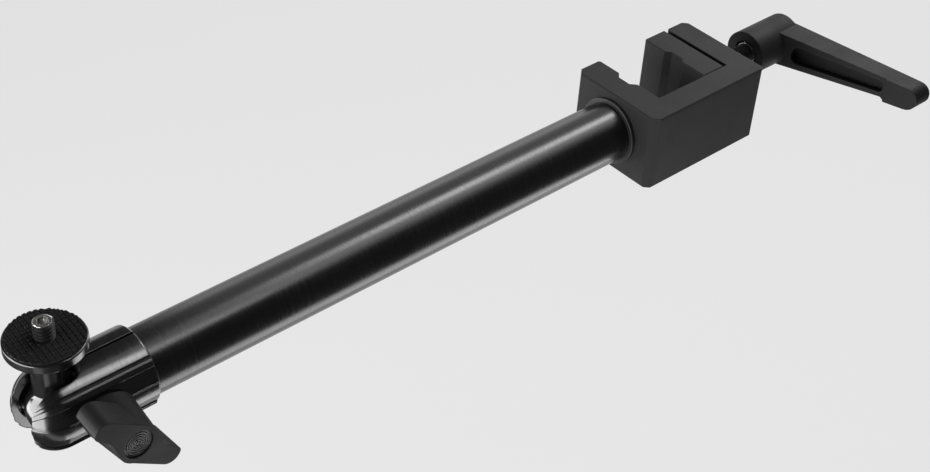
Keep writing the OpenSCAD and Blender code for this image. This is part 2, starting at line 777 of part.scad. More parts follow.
// Washer between the knob and the barrel
module knob_washer() {
    color(steel) at_knob() difference() {
        translate([0, 0, spot_out + 0.05]) cylinder(d = spot_d - 1.4, h = washer_t - 0.1);
        cylinder(r = bolt_r + running_fit, h = knob_top);
    }
}

clamp_body();
moving_jaw();
clamp_screw();
screw_snap_ring();
thrust_disc();
lever_insert();
lever_spring();
lever_retainer();
ratchet_lever();
clamp_adapter();
arm_tube();
head_adapter();
adapter_grub_screws();
socket_housing();
ball_backing_cup();
ball_stem();
camera_plate();
grip_pad();
camera_screw();
wing_knob();
knob_bolt();
knob_washer();
knob_cap();
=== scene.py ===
# %% [markdown]
# # A camera mount arm, dressed for its picture
#
# The arm comes in as a set of plain solids from the CAD model. This lesson gives each of them the
# surface that the real part has: powder coat on the clamp, anodising on the tube and the ball head,
# bare steel at the screw's tip. It also cuts the threads, the knurled pad and the ringed knob cap,
# which are too fine for the CAD model.
#
# Everything is in metres, and every new piece is made where the CAD solid that it stands for is.

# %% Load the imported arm
import math

import bmesh
import bpy
from mathutils import Matrix, Vector


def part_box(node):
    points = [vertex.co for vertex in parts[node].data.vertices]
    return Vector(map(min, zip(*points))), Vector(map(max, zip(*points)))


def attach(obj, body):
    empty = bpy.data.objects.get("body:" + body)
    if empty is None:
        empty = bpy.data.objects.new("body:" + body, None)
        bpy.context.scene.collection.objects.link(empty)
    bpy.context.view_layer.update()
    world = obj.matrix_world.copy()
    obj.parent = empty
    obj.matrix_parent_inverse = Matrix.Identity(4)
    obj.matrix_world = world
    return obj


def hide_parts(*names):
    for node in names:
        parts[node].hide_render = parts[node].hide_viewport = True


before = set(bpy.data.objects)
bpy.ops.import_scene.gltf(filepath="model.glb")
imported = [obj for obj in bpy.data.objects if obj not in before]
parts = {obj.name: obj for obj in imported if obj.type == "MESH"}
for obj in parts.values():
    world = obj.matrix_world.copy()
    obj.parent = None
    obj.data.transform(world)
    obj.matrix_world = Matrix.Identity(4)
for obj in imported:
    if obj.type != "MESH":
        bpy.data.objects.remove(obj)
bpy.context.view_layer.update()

scene = bpy.context.scene

# %% [markdown]
# ## The camera
#
# The photograph was taken from the ball head's side, high above the arm, with a long lens. A long
# lens keeps the far clamp nearly as large as the near ball head. The camera could be aimed with a
# Track To constraint, but the picture is also rolled by three degrees, so two directions of the
# camera are written down instead: to its right, and along its view.

# %% Camera
CAMERA_PLACE = Vector((-0.397198, -0.335160, 0.355194))
TO_THE_RIGHT = Vector((0.749251, -0.659835, 0.056930))
ALONG_THE_VIEW = Vector((0.540797, 0.559923, -0.627714))
LENS_MM = 66.4988

camera = bpy.data.objects.new("photo_camera", bpy.data.cameras.new("photo_camera"))
scene.collection.objects.link(camera)
upward = TO_THE_RIGHT.cross(ALONG_THE_VIEW).normalized()
turned = Matrix((TO_THE_RIGHT, upward, -ALONG_THE_VIEW)).transposed().to_4x4()
camera.matrix_world = Matrix.Translation(CAMERA_PLACE) @ turned
camera.data.lens = LENS_MM
camera.data.clip_start = 0.01
scene.camera = camera
scene.view_settings.view_transform = "Standard"
downward = math.degrees(math.asin(-ALONG_THE_VIEW.z))
print("lens", LENS_MM, "mm, looking down", round(downward, 1), "degrees")

# %% [markdown]
# ## Small helpers for node trees
#
# A material is a graph of nodes. Placing each node by hand takes many lines, so `put` makes one
# node, sets its options, and fills or links its inputs. `maths`, `vector_maths` and `ramp` are the
# nodes that come up most. `effect` opens a node group: a box with named sockets, which several
# materials can share, each with its own numbers, and `use` puts that box into a material.

# %% Node helpers
def put(tree, kind, feeds=None, **options):
    made = tree.nodes.new("ShaderNode" + kind)
    for name, value in options.items():
        setattr(made, name, value)
    for place, value in (feeds or {}).items():
        if isinstance(value, bpy.types.NodeSocket):
            tree.links.new(value, made.inputs[place])
        else:
            made.inputs[place].default_value = value
    return made


def maths(tree, operation, *values):
    return put(tree, "Math", dict(enumerate(values)), operation=operation).outputs[0]


def vector_maths(tree, operation, *values):
    return put(tree, "VectorMath", dict(enumerate(values)), operation=operation).outputs


def ramp(tree, value, start, end, low=0.0, high=1.0):
    """Runs from low, where the value is at its start, to high, where it is at its end."""
    return put(tree, "MapRange", {"Value": value, 1: start, 2: end, 3: low, 4: high}).outputs[0]


def effect(name, numbers, vectors=(), results=()):
    """Opens a node group: its tree, the sockets to take from and the sockets to give to."""
    tree = bpy.data.node_groups.new(name, "ShaderNodeTree")
    face = tree.interface
    for label, value in numbers.items():
        face.new_socket(label, in_out="INPUT", socket_type="NodeSocketFloat").default_value = value
    for label, value in dict(vectors).items():
        face.new_socket(label, in_out="INPUT", socket_type="NodeSocketVector").default_value = value
    for label, kind in results:
        face.new_socket(label, in_out="OUTPUT", socket_type="NodeSocket" + kind)
    print("effect:", name)
    return tree, tree.nodes.new("NodeGroupInput").outputs, tree.nodes.new("NodeGroupOutput").inputs


def use(tree, group, **numbers):
    made = put(tree, "Group", node_tree=group)
    for label, value in numbers.items():
        made.inputs[label.replace("_", " ")].default_value = value
    return made.outputs


# %% [markdown]
# ## Shared effects
#
# Five effects turn up on more than one finish:
#
# - grain: the fine pebbling of powder coat, cast plastic and rubber
# - turning marks: the rings that a lathe leaves round a part, still there under the anodising
# - edge wear: where hands and other metal rub the colour off the corners
# - handling: broad, faint changes of gloss where the part is held
# - dust: a few light specks
#
# They all read the Object coordinates, so they stay on a part when it moves. Noise scales count
# per metre, so the sizes in millimetres that the finishes give are turned over first.
#
# The grain is noise with Voronoi cells taken off it. Noise alone is soft and cloudy, and the cells
# give it the small rounded crests that sprayed powder melts into.

# %% Effect: grain
CELL_SCALE, PATCH_SCALE = 0.8, 0.35  # both as a share of the pebbles' scale
CREST_SHARE = -0.45
grain, take, give = effect(
    "grain", {"Size mm": 0.4, "Roughening": 0.5}, results=[("Height", "Float"), ("Tone", "Float")])
place = put(grain, "TexCoord").outputs["Object"]
fineness = maths(grain, "DIVIDE", 1000.0, take["Size mm"])
pebbles = put(grain, "TexNoise", {
    "Vector": place, "Scale": fineness, "Detail": 3.0, "Roughness": take["Roughening"]})
cell_scale = maths(grain, "MULTIPLY", fineness, CELL_SCALE)
cells = put(grain, "TexVoronoi", {"Vector": place, "Scale": cell_scale})
bumps = maths(grain, "MULTIPLY_ADD", cells.outputs["Distance"], CREST_SHARE, pebbles.outputs[0])
grain.links.new(bumps, give["Height"])
patch_scale = maths(grain, "MULTIPLY", fineness, PATCH_SCALE)
patches = put(grain, "TexNoise", {"Vector": place, "Scale": patch_scale, "Detail": 2.0})
grain.links.new(patches.outputs[0], give["Tone"])

# %% [markdown]
# The lathe's rings run round an axis. Along a rod they change with the distance along the axis, and
# on an end face with the distance from the axis. The sum of the two distances does both at once.
# The fine rings go out as height. Bands nearly twice as wide go out as a tone that shifts the
# gloss, because a change of gloss shows in a highlight where so small a height doesn't.

# %% Effect: turning marks
BANDS_PER_RING = 0.55
lathe, take, give = effect(
    "turning_marks", {"Pitch mm": 0.25}, {"Axis": (1.0, 0.0, 0.0), "Centre": (0.0, 0.0, 0.0)},
    [("Height", "Float"), ("Tone", "Float")])
place = put(lathe, "TexCoord").outputs["Object"]
from_centre = vector_maths(lathe, "SUBTRACT", place, take["Centre"])[0]
along = vector_maths(lathe, "DOT_PRODUCT", from_centre, take["Axis"])["Value"]
across = vector_maths(lathe, "CROSS_PRODUCT", from_centre, take["Axis"])[0]
outward = vector_maths(lathe, "LENGTH", across)["Value"]
distance = maths(lathe, "ADD", along, outward)
pitch = maths(lathe, "MULTIPLY", take["Pitch mm"], 0.001)
ring_count = maths(lathe, "DIVIDE", distance, pitch)
rings = put(lathe, "TexNoise", {"W": ring_count, "Scale": 1.0, "Detail": 2.0}, noise_dimensions="1D")
band_count = maths(lathe, "MULTIPLY", ring_count, BANDS_PER_RING)
bands = put(lathe, "TexNoise", {"W": band_count, "Scale": 1.0}, noise_dimensions="1D")
lathe.links.new(rings.outputs[0], give["Height"])
lathe.links.new(bands.outputs[0], give["Tone"])

# %% [markdown]
# A Bevel node gives the normal that a rounded corner would have. Where it differs from the true
# normal there is an edge, and that difference, broken up with noise, is the wear. The rounded normal
# also goes out, since real edges are never perfectly sharp and catch a line of light. A Bevel
# modifier would do that with real faces, but the CAD meshes stay as they are.

# %% Effect: edge wear
WEAR_BEGINS, WEAR_IS_FULL = 0.995, 0.86  # how well the two normals agree; 1 is a flat face
RUB_SCALE = 420.0
RUB_FROM, RUB_TO = 0.44, 0.62
worn_edge, take, give = effect(
    "edge_wear", {"Edge mm": 0.3, "Amount": 0.4}, results=[("Wear", "Float"), ("Normal", "Vector")])
edge_radius = maths(worn_edge, "MULTIPLY", take["Edge mm"], 0.001)
rounded = put(worn_edge, "Bevel", {"Radius": edge_radius}, samples=12).outputs[0]
flat = put(worn_edge, "NewGeometry").outputs["Normal"]
agreement = vector_maths(worn_edge, "DOT_PRODUCT", rounded, flat)["Value"]
corner = ramp(worn_edge, agreement, WEAR_BEGINS, WEAR_IS_FULL)
place = put(worn_edge, "TexCoord").outputs["Object"]
patchy = put(worn_edge, "TexNoise", {
    "Vector": place, "Scale": RUB_SCALE, "Detail": 5.0, "Roughness": 0.65}).outputs[0]
rubbed = ramp(worn_edge, patchy, RUB_FROM, RUB_TO)
worn = maths(worn_edge, "MULTIPLY", maths(worn_edge, "MULTIPLY", corner, rubbed), take["Amount"])
worn_edge.links.new(worn, give["Wear"])
worn_edge.links.new(rounded, give["Normal"])

# %% [markdown]
# Fingers leave thin grease, which shows only as a slow change of gloss. One noise of a size near a
# fingertip's, pulled out of shape by a little distortion, is enough for it.

# %% Effect: handling
handling, take, give = effect("handling", {"Size mm": 14.0}, results=[("Smudge", "Float")])
place = put(handling, "TexCoord").outputs["Object"]
smear_scale = maths(handling, "DIVIDE", 1000.0, take["Size mm"])
smear = put(handling, "TexNoise", {
    "Vector": place, "Scale": smear_scale, "Detail": 4.0, "Distortion": 0.6})
handling.links.new(smear.outputs[0], give["Smudge"])

# %% [markdown]
# Dust lies on what faces up. Voronoi cells have a point in the middle of each, and only the nearest
# surroundings of those points are kept, as lone specks. Specks as tiny meshes would weigh much more
# and show no better from here.

# %% Effect: dust
SPECK_SCALE = 520.0
SPECK_RIM, SPECK_CORE = 0.10, 0.05  # distances from a cell's point
STEEPEST, LEVEL = 0.3, 1.0  # upward part of the normal where dust begins to lie, and on a level face
dust, take, give = effect("dust", {"Amount": 0.3}, results=[("Specks", "Float")])
place = put(dust, "TexCoord").outputs["Object"]
grit = put(dust, "TexVoronoi", {
    "Vector": place, "Scale": SPECK_SCALE, "Randomness": 1.0}).outputs["Distance"]
lone = ramp(dust, grit, SPECK_RIM, SPECK_CORE)
facing = put(dust, "SeparateXYZ", {0: put(dust, "NewGeometry").outputs["Normal"]}).outputs[2]
settled = ramp(dust, facing, STEEPEST, LEVEL)
specks = maths(dust, "MULTIPLY", maths(dust, "MULTIPLY", lone, settled), take["Amount"])
dust.links.new(specks, give["Specks"])

# %% [markdown]
# ## From effects to a finish
#
# Every finish here is one Principled shader with the same order of work: a base colour that varies
# a little with the texture, wear and dust over it, a roughness that the handling shifts, and a bump
# over the rounded normal. Only the numbers and the kind of texture differ, so one function wires
# them, and each finish below calls it with its own values. `grained` and `lathed` choose the
# texture: they return the function that puts it into a material.

# %% Wiring of a finish
DUST_COLOUR = (0.35, 0.34, 0.32, 1.0)
SMUDGE_LEAST, SMUDGE_MOST = 0.3, 0.7  # most of a noise lies between these


def black(level):
    return (level, level, level * 1.04, 1.0)


def blend(tree, share, under, over):
    return put(tree, "Mix", {0: share, 6: under, 7: over}, data_type="RGBA").outputs[2]


def finish(name, colour, lighter, roughness, spread, texture, tone, bump_um, edge, wear, wear_colour,
           smudge_mm=14.0, dust_amount=0.0, metallic=0.0, shine=0.5):
    """The texture takes colour to lighter and adds tone to the roughness; bump_um is its depth.

    Smudges shift the roughness by spread both ways, and edge is the radius of corners in mm.
    """
    made = bpy.data.materials.new(name)
    made.use_nodes = True
    tree = made.node_tree
    shader = tree.nodes["Principled BSDF"]
    height, shade = texture(tree)
    edges = use(tree, worn_edge, Edge_mm=edge, Amount=wear)
    smudges = use(tree, handling, Size_mm=smudge_mm)["Smudge"]
    ground = blend(tree, shade, colour, lighter)
    rubbed = blend(tree, edges["Wear"], ground, wear_colour)
    if dust_amount:
        specks = use(tree, dust, Amount=dust_amount)["Specks"]
        rubbed = blend(tree, specks, rubbed, DUST_COLOUR)
    tree.links.new(rubbed, shader.inputs["Base Color"])
    gloss = ramp(tree, smudges, SMUDGE_LEAST, SMUDGE_MOST, roughness - spread, roughness + spread)
    uneven = maths(tree, "MULTIPLY_ADD", shade, tone, gloss)
    tree.links.new(uneven, shader.inputs["Roughness"])
    relief = put(tree, "Bump", {
        "Strength": 1.0, "Distance": bump_um * 1e-6, "Height": height, "Normal": edges["Normal"]})
    tree.links.new(relief.outputs[0], shader.inputs["Normal"])
    shader.inputs["Metallic"].default_value = metallic
    shader.inputs["Specular IOR Level"].default_value = shine
    print("finish:", name)
    return made


def grained(size_mm, roughening=0.5):
    def surface(tree):
        outputs = use(tree, grain, Size_mm=size_mm, Roughening=roughening)
        return outputs["Height"], outputs["Tone"]
    return surface


def lathed(pitch_mm, axis, centre):
    def surface(tree):
        outputs = use(tree, lathe, Pitch_mm=pitch_mm, Axis=axis, Centre=centre)
        return outputs["Height"], outputs["Tone"]
    return surface


# %% [markdown]
# ## Powder coat
#
# The clamp block and its jaw are sprayed with powder and baked, and the cast lever is painted. The
# skin is nearly black and matt, with a fine pebble that breaks up the light. A plain rough shader
# would look like paper, so the grain group gives it its tooth, and the corners show a little of the
# lighter undercoat.

# %% Finishes of the clamp
powder_coat = finish(
    "powder_coat", black(0.014), black(0.022), roughness=0.52, spread=0.05,
    texture=grained(0.28, 0.6), tone=0.10, bump_um=26.0,
    edge=0.35, wear=0.25, wear_colour=black(0.12), dust_amount=0.25, shine=0.16)
lever_paint = finish(
    "lever_paint", black(0.011), black(0.018), roughness=0.48, spread=0.06,
    texture=grained(0.24, 0.6), tone=0.10, bump_um=24.0,
    edge=0.45, wear=0.22, wear_colour=black(0.11), smudge_mm=10.0, dust_amount=0.2, shine=0.11)

# %% [markdown]
# ## Anodised aluminium
#
# The tube is turned, lightly blasted and dyed black: a satin skin, whose long highlight is crossed
# by the finest lathe rings. The barrel, ball, stem and plate are polished before they are dyed, so
# they mirror the lamps, and the collar at the clamp is the dullest. Anodising is glass-like, so
# these are dielectric shaders with a dark base and no metal, and the rings go in as bump and as a
# small change of roughness.

# %% Finishes of the tube and the ball head
ALONG_X, ALONG_Z = (1.0, 0.0, 0.0), (0.0, 0.0, 1.0)
TUBE_AXIS = (0.0, -0.0044, 0.0)
BALL_CENTRE = Vector((-0.23704, -0.0044, 0.0))
tube_satin = finish(
    "tube_satin", black(0.004), black(0.005), roughness=0.22, spread=0.02,
    texture=lathed(0.7, ALONG_X, TUBE_AXIS), tone=0.09, bump_um=2.2,
    edge=0.2, wear=0.3, wear_colour=black(0.20), smudge_mm=22.0, shine=0.5)
barrel_gloss = finish(
    "barrel_gloss", black(0.003), black(0.005), roughness=0.14, spread=0.02,
    texture=lathed(0.6, ALONG_X, TUBE_AXIS), tone=0.12, bump_um=0.7,
    edge=0.5, wear=0.2, wear_colour=black(0.10), smudge_mm=9.0, shine=0.9)
collar_satin = finish(
    "collar_satin", black(0.010), black(0.016), roughness=0.38, spread=0.04,
    texture=lathed(0.3, ALONG_X, TUBE_AXIS), tone=0.06, bump_um=3.0,
    edge=0.5, wear=0.3, wear_colour=black(0.15), smudge_mm=9.0, shine=0.6)
ball_gloss = finish(
    "ball_gloss", black(0.003), black(0.005), roughness=0.15, spread=0.025,
    texture=lathed(0.3, ALONG_Z, tuple(BALL_CENTRE)), tone=0.02, bump_um=0.15,
    edge=0.4, wear=0.2, wear_colour=black(0.12), smudge_mm=6.0, shine=0.9)

# %% [markdown]
# ## Steel, blackened and bare
#
# Screws are blackened in a hot bath, which leaves a dark skin with a dull shine, so the shader is
# only part metal. Where a lathe or a grinder has cut after the bath, as at the camera screw's tip,
# the steel is bright. So are the small inner pieces, such as the spring and the toothed insert.

# %% Finishes of the screws
dark_screw = finish(
    "dark_screw", black(0.008), black(0.016), roughness=0.40, spread=0.05,
    texture=grained(0.3), tone=0.08, bump_um=4.0,
    edge=0.12, wear=0.30, wear_colour=black(0.06), smudge_mm=5.0, metallic=0.3, shine=0.2)
bright_steel = finish(
    "bright_steel", (0.60, 0.60, 0.59, 1.0), (0.70, 0.69, 0.67, 1.0), roughness=0.24, spread=0.05,
    texture=grained(0.12), tone=0.06, bump_um=1.5,
    edge=0.1, wear=0.2, wear_colour=(0.75, 0.75, 0.74, 1.0), smudge_mm=5.0, metallic=1.0)

# %% [markdown]
# ## Plastic and rubber
#
# The knob is moulded in a glass-filled nylon with a spark-eroded texture, the cup behind the ball in
# acetal, and the pad on the plate in hard rubber. All three are matt and nearly black. The knob's
# cap comes from a smoother mould, so it shines a little more and its rings catch the light.

# %% Finishes of the knob and the pad
knob_plastic = finish(
    "knob_plastic", black(0.007), black(0.012), roughness=0.50, spread=0.05,
    texture=grained(0.22, 0.55), tone=0.10, bump_um=18.0,
    edge=0.35, wear=0.2, wear_colour=black(0.10), smudge_mm=8.0, dust_amount=0.15, shine=0.14)
cap_plastic = finish(
    "cap_plastic", black(0.016), black(0.024), roughness=0.42, spread=0.05,
    texture=grained(0.2), tone=0.08, bump_um=6.0,
    edge=0.15, wear=0.2, wear_colour=black(0.08), smudge_mm=5.0, shine=0.4)
acetal = finish(
    "acetal", black(0.02), black(0.03), roughness=0.40, spread=0.05,
    texture=grained(0.3), tone=0.08, bump_um=6.0,
    edge=0.2, wear=0.1, wear_colour=black(0.08), smudge_mm=6.0)
pad_rubber = finish(
    "pad_rubber", black(0.007), black(0.013), roughness=0.50, spread=0.06,
    texture=grained(0.16, 0.6), tone=0.10, bump_um=9.0,
    edge=0.12, wear=0.3, wear_colour=black(0.06), smudge_mm=6.0, dust_amount=0.15, shine=0.12)

# %% [markdown]
# ## Dress the solids
#
# Most solids have their true shape already, and only need their finish. It goes into the slots that
# their meshes have, so the meshes stay as they are. The four solids that are missing here get a
# finer mesh below.

# %% Dress the solids that keep their CAD shape
DRESSED = {
    powder_coat: ["clamp_body", "moving_jaw"],
    lever_paint: ["ratchet_lever"],
    tube_satin: ["arm_tube", "head_adapter"],
    collar_satin: ["clamp_adapter"],
    barrel_gloss: ["socket_housing"],
    ball_gloss: ["ball_stem", "camera_plate"],
    dark_screw: ["lever_retainer", "adapter_grub_screws", "knob_bolt"],
    bright_steel: ["screw_snap_ring", "thrust_disc", "lever_insert", "lever_spring", "knob_washer"],
    acetal: ["ball_backing_cup"],
    knob_plastic: ["wing_knob"],
}
for coat, names in DRESSED.items():
    for name in names:
        for place in parts[name].material_slots:
            place.material = coat
print("dressed", sum(len(names) for names in DRESSED.values()), "solids")

# %% [markdown]
# ## Tools for new meshes
#
# The fine pieces are drawn in millimetres round the Z axis and then put in place, because small
# round numbers are easier to read and cut more cleanly than metres. `spun` turns a profile round
# the axis, as a lathe would. `cut` runs a Boolean and keeps its result. `mounted` scales the mesh to
# metres, moves it to its place, and hands it to its body.

# %% Mesh tools
ROUND_STEPS = 96


def spun(profile, steps=ROUND_STEPS):
    """Closed solid from a closed loop of (radius, height) points; a radius of 0 lies on the axis."""
    shape = bmesh.new()
    turns = [math.tau * k / steps for k in range(steps)]
    rings = []
    for radius, height in profile:
        if radius == 0:
            rings.append([shape.verts.new((0, 0, height))] * steps)
        else:
            rings.append([
                shape.verts.new((radius * math.cos(a), radius * math.sin(a), height)) for a in turns])
    for ring, after in zip(rings, rings[1:] + rings[:1]):
        for k in range(steps):
            corners = [ring[k - 1], ring[k], after[k], after[k - 1]]
            corners = [c for n, c in enumerate(corners) if c not in corners[:n]]
            if len(corners) > 2:
                shape.faces.new(corners)
    bmesh.ops.recalc_face_normals(shape, faces=shape.faces)
    return shape


def solid(name, shape, *finishes):
    mesh = bpy.data.meshes.new(name)
    shape.to_mesh(mesh)
    shape.free()
    for coat in finishes:
        mesh.materials.append(coat)
    made = bpy.data.objects.new(name, mesh)
    scene.collection.objects.link(made)
    return made


def cut(piece, tool, operation):
    """Joins, subtracts or intersects the tool, then throws the tool away."""
    step = piece.modifiers.new("cut", "BOOLEAN")
    step.operation = operation
    step.solver = "EXACT"
    step.object = tool
    evaluated = piece.evaluated_get(bpy.context.evaluated_depsgraph_get())
    result = bpy.data.meshes.new_from_object(evaluated)
    piece.modifiers.clear()
    used = piece.data, tool.data
    piece.data = result
    bpy.data.objects.remove(tool)
    for mesh in used:
        bpy.data.meshes.remove(mesh)


def mounted(piece, place, body, stands_for, sharp_degrees=35.0):
    mesh = piece.data
    mesh.transform(place @ Matrix.Scale(0.001, 4))
    mesh.shade_smooth()
    mesh.set_sharp_from_angle(angle=math.radians(sharp_degrees))
    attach(piece, body)
    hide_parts(stands_for)
    print(piece.name, len(mesh.polygons), "faces")


# %% [markdown]
# ## Screw threads
#
# A thread is one ridge that winds up the rod. A Screw modifier would wind a profile too, but its
# ends would need mending, so the ridge is wound in code. Its profile has four points for each turn:
# two at the root and two at the crest. The ridge is drawn a little too long, both ends are cut
# square, and the cuts are closed, which gives a solid thread with a true run of crest and root.

# %% Thread
THREAD_DEEP = 0.5413  # this and the next three are shares of the pitch, for a 60 degree thread
ROOT_FLAT = 0.25
CREST_FLAT = 0.125
FLANK = (1.0 - ROOT_FLAT - CREST_FLAT) / 2


def threaded(crest, pitch, low, high, steps=40):
    """Solid threaded rod between two heights; crest is its outer radius."""
    root = crest - THREAD_DEEP * pitch
    crest_from = ROOT_FLAT + FLANK
    profile = [(0.0, root), (ROOT_FLAT, root), (crest_from, crest), (crest_from + CREST_FLAT, crest)]
    turns = int((high - low) / pitch) + 4
    start = low - 2.0 * pitch
    shape = bmesh.new()
    lines = []
    for step in range(turns * steps + 1):
        angle = math.tau * step / steps
        rise = start + pitch * step / steps
        lines.append([
            shape.verts.new((r * math.cos(angle), r * math.sin(angle), rise + f * pitch))
            for f, r in profile])
    for step in range(turns * steps):
        here, after = lines[step], lines[step + 1]
        for k in range(3):
            shape.faces.new((here[k], after[k], after[k + 1], here[k + 1]))
        if step + 1 + steps < len(lines):
            shape.faces.new((here[3], after[3], lines[step + 1 + steps][0], lines[step + steps][0]))
    for height, outward in ((low, -1.0), (high, 1.0)):
        bmesh.ops.bisect_plane(
            shape, geom=shape.verts[:] + shape.edges[:] + shape.faces[:], dist=1e-5,
            plane_co=(0, 0, height), plane_no=(0, 0, outward), clear_outer=True)
    rims = [edge for edge in shape.edges if edge.is_boundary]
    bmesh.ops.holes_fill(shape, edges=rims, sides=0)
    bmesh.ops.recalc_face_normals(shape, faces=shape.faces)
    return shape


# %% [markdown]
# ## Clamp screw
#
# An M8 screw pushes the moving jaw. It is threaded from the jaw to the lever's insert, and plain in
# both. It is seen between the block and the lever, and across the throat once the jaw comes
# forward. Two plain bars are joined to the threaded rod, and each starts a little inside it,
# because a Boolean needs an overlap to join well.

# %% Clamp screw
SCREW_PITCH = 1.25
SCREW_R = 4.0
JOURNAL_R, JOURNAL_CHAMFER = 3.2375, 0.3
SPIGOT_R, SPIGOT_CHAMFER = 3.2, 0.2
THREAD_FROM = 37.95
INSERT_FRONT = 69.26
OVERLAP = 0.5
low, high = (corner * 1000 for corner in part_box("clamp_screw"))
ridge = threaded(SCREW_R, SCREW_PITCH, THREAD_FROM, INSERT_FRONT)
spindle = solid("spindle", ridge, dark_screw)
plain_ends = (
    (low.x, THREAD_FROM + OVERLAP, JOURNAL_R, JOURNAL_CHAMFER),
    (INSERT_FRONT - OVERLAP, high.x, SPIGOT_R, SPIGOT_CHAMFER),
)
for begin, end, radius, chamfer in plain_ends:
    bar = spun([
        (0, begin), (radius - chamfer, begin), (radius, begin + chamfer), (radius, end), (0, end)])
    cut(spindle, solid("bar", bar, dark_screw), "UNION")
along_x = Matrix.Rotation(math.radians(90), 4, "Y")
mounted(spindle, along_x, "screw", "clamp_screw")

# %% [markdown]
# ## Camera screw
#
# The 1/4-20 screw stands in the middle of the pad. Its flank is black. Its tip was ground and its
# hexagon socket cut after blackening, so both shine, and their faces get the bright finish. The tip
# gets its chamfer by intersection with a turned bar, which is wide lower down and leaves the thread
# alone there. The socket is a hexagon with a drill point, which is subtracted.

# %% Camera screw
CAMERA_SCREW_R = 3.175
CAMERA_PITCH = 1.27
THREAD_IN_PAD = 1.0
KEY_ACROSS = 3.3
KEY_DEEP, DRILL_DEEP = 3.0, 3.8
TIP_CHAMFER, TURNED_TIP = 0.45, 2.0
GROUND_SHARE = 0.8
SHANK_R, SHANK_CHAMFER = 2.72, 0.22
CLEAR_R = 4.0
BEYOND = 1.0  # how far a cutting tool stands out of the face that it cuts
low, high = (corner * 1000 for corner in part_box("camera_screw"))
pad_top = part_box("grip_pad")[1].z * 1000
ridge = threaded(CAMERA_SCREW_R, CAMERA_PITCH, pad_top - THREAD_IN_PAD, high.z)
stud = solid("stud", ridge, dark_screw, bright_steel)
start = pad_top - 2 * THREAD_IN_PAD
envelope = spun([
    (0, start), (CLEAR_R, start), (CLEAR_R, high.z - TURNED_TIP),
    (CAMERA_SCREW_R, high.z - TURNED_TIP), (CAMERA_SCREW_R, high.z - TIP_CHAMFER),
    (CAMERA_SCREW_R - TIP_CHAMFER, high.z), (0, high.z)])
cut(stud, solid("envelope", envelope, dark_screw), "INTERSECT")
shank = spun([
    (0, low.z), (SHANK_R - SHANK_CHAMFER, low.z), (SHANK_R, low.z + SHANK_CHAMFER),
    (SHANK_R, pad_top - OVERLAP), (0, pad_top - OVERLAP)])
cut(stud, solid("shank", shank, dark_screw), "UNION")
key_r = KEY_ACROSS / 2 / math.cos(math.radians(30))
socket = spun([
    (0, high.z - DRILL_DEEP), (key_r, high.z - KEY_DEEP),
    (key_r, high.z + BEYOND), (0, high.z + BEYOND)], steps=6)
cut(stud, solid("socket", socket, bright_steel), "DIFFERENCE")
for face in stud.data.polygons:
    middle = face.center
    in_socket = math.hypot(middle.x, middle.y) < key_r and middle.z > high.z - DRILL_DEEP - 0.1
    ground = middle.z > high.z - GROUND_SHARE * TIP_CHAMFER
    face.material_index = 1 if in_socket or ground else 0
above_ball = Matrix.Translation((BALL_CENTRE.x, BALL_CENTRE.y, 0))
mounted(stud, above_ball, "plate", "camera_screw", sharp_degrees=28.0)

# %% [markdown]
# ## Knurled pad
#
# The pad's face is a grid of small flat-topped pyramids, 1.72 mm apart, nearly square to the arm. A
# bump map would vanish at the pad's outline, where the photograph shows a row of small teeth, so the
# pyramids are real. They are drawn on a square sheet that is then cut round, with its hole, by
# intersection with a turned ring.

# %% Knurled pad
KNURL_PITCH = 1.72
KNURL_DEEP = 0.42
KNURL_TURN = math.radians(-4.5)
FLAT_SHARE = 0.46
HOLE_R = 3.25
low, high = (corner * 1000 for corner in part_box("grip_pad"))
pad_r = (high.x - low.x) / 2
count = 2 * math.ceil(pad_r / KNURL_PITCH) + 2
sheet = bmesh.new()
edge_at = [(k - count / 2) * KNURL_PITCH for k in range(count + 1)]
top, groove, under = high.z, high.z - KNURL_DEEP, low.z - OVERLAP
valley = [[sheet.verts.new((x, y, groove)) for y in edge_at] for x in edge_at]
bottom = [[sheet.verts.new((x, y, under)) for y in edge_at] for x in edge_at]
near = KNURL_PITCH * (1 - FLAT_SHARE) / 2
far = KNURL_PITCH - near
crown_at = ((near, near), (far, near), (far, far), (near, far))
for i in range(count):
    for j in range(count):
        around = [valley[i][j], valley[i + 1][j], valley[i + 1][j + 1], valley[i][j + 1]]
        crown = [sheet.verts.new((edge_at[i] + dx, edge_at[j] + dy, top)) for dx, dy in crown_at]
        sheet.faces.new(crown)
        for k in range(4):
            sheet.faces.new((around[k - 1], around[k], crown[k], crown[k - 1]))
        sheet.faces.new((bottom[i][j], bottom[i][j + 1], bottom[i + 1][j + 1], bottom[i + 1][j]))
for k in range(count):
    walls = (
        ((0, k), (0, k + 1)), ((count, k + 1), (count, k)),
        ((k + 1, 0), (k, 0)), ((k, count), (k + 1, count)))
    for (i, j), (m, n) in walls:
        sheet.faces.new((valley[i][j], valley[m][n], bottom[m][n], bottom[i][j]))
bmesh.ops.recalc_face_normals(sheet, faces=sheet.faces)
knurl_turn = Matrix.Rotation(KNURL_TURN, 3, "Z")
bmesh.ops.rotate(sheet, verts=sheet.verts, cent=(0, 0, 0), matrix=knurl_turn)
knurl = solid("knurled_pad", sheet, pad_rubber)
ring = spun([
    (HOLE_R, low.z), (pad_r, low.z), (pad_r, top + BEYOND), (HOLE_R, top + BEYOND)], steps=128)
cut(knurl, solid("ring", ring, pad_rubber), "INTERSECT")
mounted(knurl, above_ball, "plate", "grip_pad", sharp_degrees=20.0)

# %% [markdown]
# ## Ringed cap
#
# A round insert closes the knob's face. Five shallow rings are turned into it, which show as fine
# light and dark lines. A bump map could draw them, but a turned profile needs only a few points
# and keeps its lines from close by. It steps down and up once for each ring.

